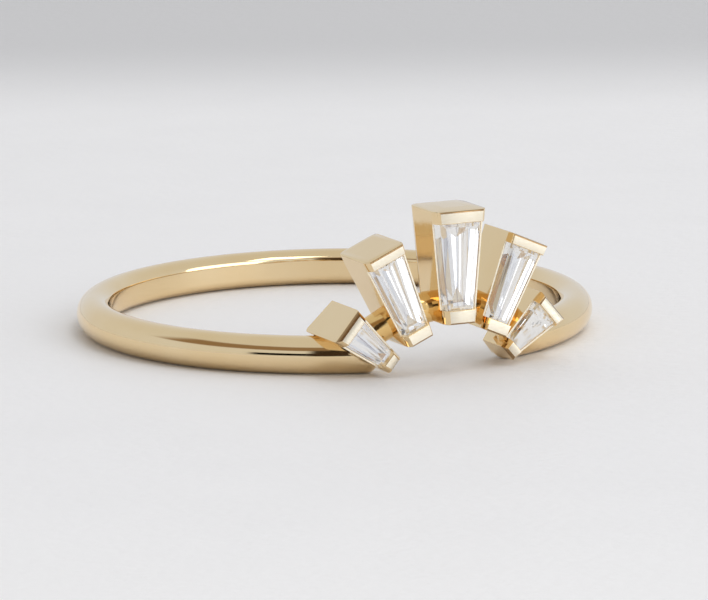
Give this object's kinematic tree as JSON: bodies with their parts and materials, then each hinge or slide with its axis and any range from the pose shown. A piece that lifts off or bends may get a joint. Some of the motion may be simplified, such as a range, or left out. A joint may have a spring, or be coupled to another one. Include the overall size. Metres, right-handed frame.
{
  "type": "baguette diamond ring",
  "caption": "Finger ring with a round wire band and a fan of tapered baguette stones, each held between two end bars over an open arch.",
  "frame": {"origin": "middle of the finger hole, on its axis, at the height of the middle of the band wire", "axes": "+Z along the finger hole, towards the tall end of the fan of stones; the head of the ring faces -Y; +X to the right, seen from the head; the ring lies on its side with its lowest level at the underside of the band wire"},
  "size_m": [0.019, 0.02, 0.0059],
  "materials": {
    "gold": "polished yellow gold",
    "diamond": "clear step-cut diamond"
  },
  "bodies": {
    "root": {"mounting": "gold", "stone_centre": "diamond", "stone_inner_left": "diamond", "stone_inner_right": "diamond", "stone_outer_left": "diamond", "stone_outer_right": "diamond"}
  },
  "joints": []
}
